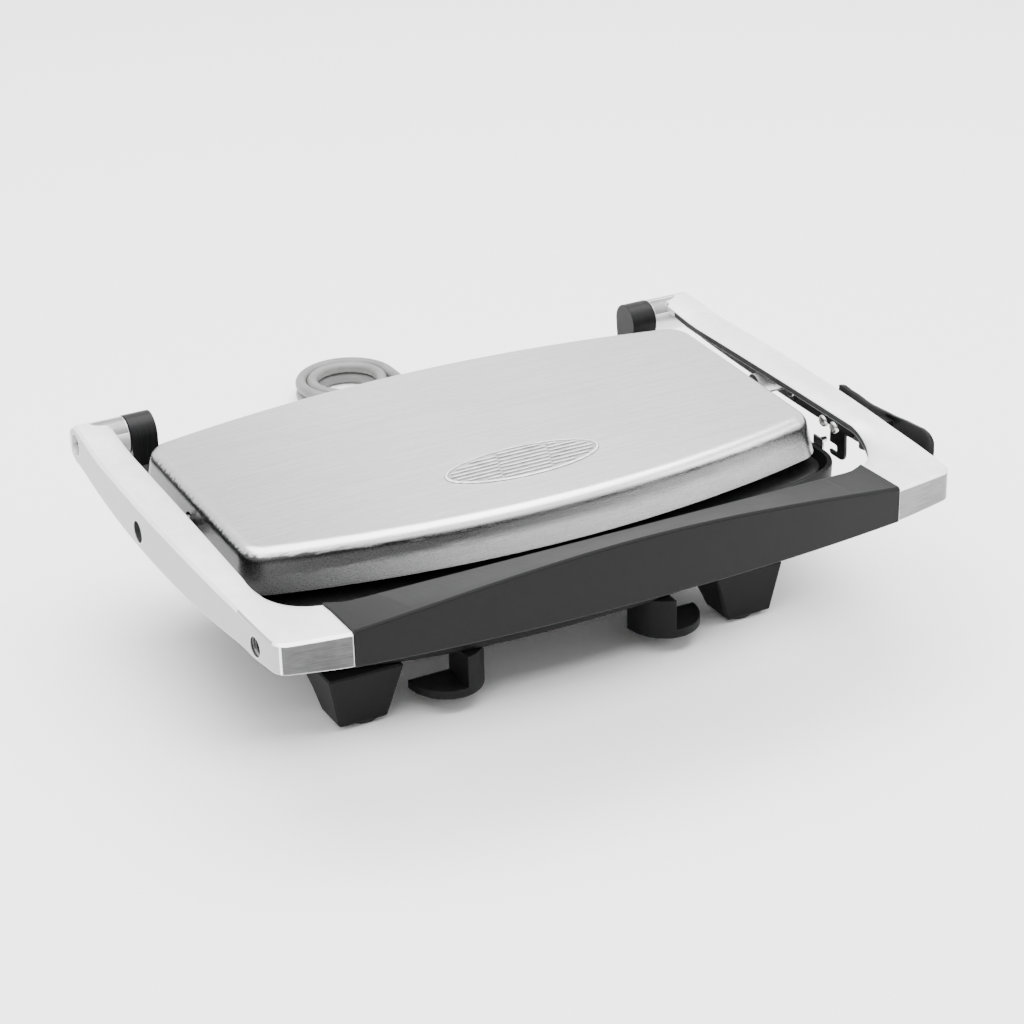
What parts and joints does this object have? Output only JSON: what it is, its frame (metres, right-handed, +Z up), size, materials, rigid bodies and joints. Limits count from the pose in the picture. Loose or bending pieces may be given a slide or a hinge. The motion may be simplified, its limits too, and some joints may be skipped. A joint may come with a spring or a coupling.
{
  "type": "panini press",
  "caption": "Contact grill for panini: a ribbed base on short legs, a floating brushed lid pivoted in a U-shaped lifting frame, a side latch and a mains cord.",
  "frame": {"origin": "centre of the object's box, without its free cord, on the plane that the feet stand on", "axes": "+Z up, +Y towards the rear hinge, +X towards the side with the latch"},
  "size_m": [0.384, 0.4901, 0.1138],
  "materials": {
    "black_plastic": "fine-grained moulded black plastic",
    "grip_plastic": "satin black plastic of the grip bar",
    "brushed_steel": "steel brushed across the width",
    "cast_aluminium": "satin cast aluminium",
    "plate_coating": "dark non-stick coating on a die-cast aluminium plate",
    "bright_steel": "bright plated fixings",
    "dark_steel": "blackened sheet steel",
    "element_sheath": "heater tube",
    "reflector_sheet": "plain sheet",
    "clear_lens": "clear moulded lens with ribs",
    "red_lamp": "signal lamp, unlit",
    "green_lamp": "signal lamp, unlit",
    "ceramic": "unglazed ceramic",
    "rubber": "matt black rubber",
    "cord_sheath": "light grey flexible sheath"
  },
  "bodies": {
    "base": {"lower_housing": "black_plastic", "bottom_cover": "black_plastic", "lower_grill_plate": "plate_coating", "lower_heating_element": "element_sheath", "lower_reflector": "reflector_sheet", "lower_thermostat": "ceramic", "terminal_block": "ceramic", "latch_catch": "bright_steel", "cord_gland": "rubber", "mains_cord_lead": "cord_sheath", "mains_cord_coil": "cord_sheath", "mains_cord_tail": "cord_sheath", "mains_plug": "cord_sheath", "cover_screw_front_left": "bright_steel", "cover_screw_front_right": "bright_steel", "cover_screw_rear_left": "bright_steel", "cover_screw_rear_right": "bright_steel", "leg_front_left": "black_plastic", "leg_front_right": "black_plastic", "leg_rear_left": "black_plastic", "leg_rear_right": "black_plastic", "foot_pad_front_left": "rubber", "foot_pad_front_right": "rubber", "foot_pad_rear_left": "rubber", "foot_pad_rear_right": "rubber", "hinge_post_left": "black_plastic", "hinge_post_right": "black_plastic", "cord_cleat_left": "black_plastic", "cord_cleat_right": "black_plastic"},
    "handle_frame": {"grip_bar": "grip_plastic", "grip_foot_cover": "black_plastic", "lid_lead": "rubber", "arm_left": "cast_aluminium", "arm_right": "cast_aluminium", "grip_screw_left": "bright_steel", "grip_screw_right": "bright_steel", "hinge_pin_left": "bright_steel", "hinge_pin_right": "bright_steel", "lid_pivot_screw_left": "bright_steel", "lid_pivot_screw_right": "bright_steel"},
    "upper_grill": {"lid_shell": "brushed_steel", "lamp_window": "clear_lens", "lamp_carrier": "black_plastic", "power_lamp": "red_lamp", "ready_lamp": "green_lamp", "upper_tray": "black_plastic", "upper_grill_plate": "plate_coating", "upper_heating_element": "element_sheath", "upper_reflector": "reflector_sheet", "upper_thermostat": "ceramic", "pivot_bracket_left": "bright_steel", "pivot_bracket_right": "bright_steel", "pivot_collar_left": "bright_steel", "pivot_collar_right": "bright_steel"},
    "latch": {"latch_slider": "black_plastic", "latch_hook": "dark_steel", "latch_screw_front": "bright_steel", "latch_screw_rear": "bright_steel"}
  },
  "joints": [
    {"name": "handle_hinge", "type": "hinge", "parent": "base", "child": "handle_frame", "pos_m": [-0.007, 0.1322, 0.0937], "axis": [-1, 0, 0], "range_deg": [0, 100]},
    {"name": "lid_pivot", "type": "hinge", "parent": "handle_frame", "child": "upper_grill", "pos_m": [-0.007, 0.0362, 0.086], "axis": [1, 0, 0], "range_deg": [-1.2, 1.2]},
    {"name": "latch_slide", "type": "slide", "parent": "handle_frame", "child": "latch", "axis": [0, 1, 0], "range_m": [0, 0.009]}
  ]
}
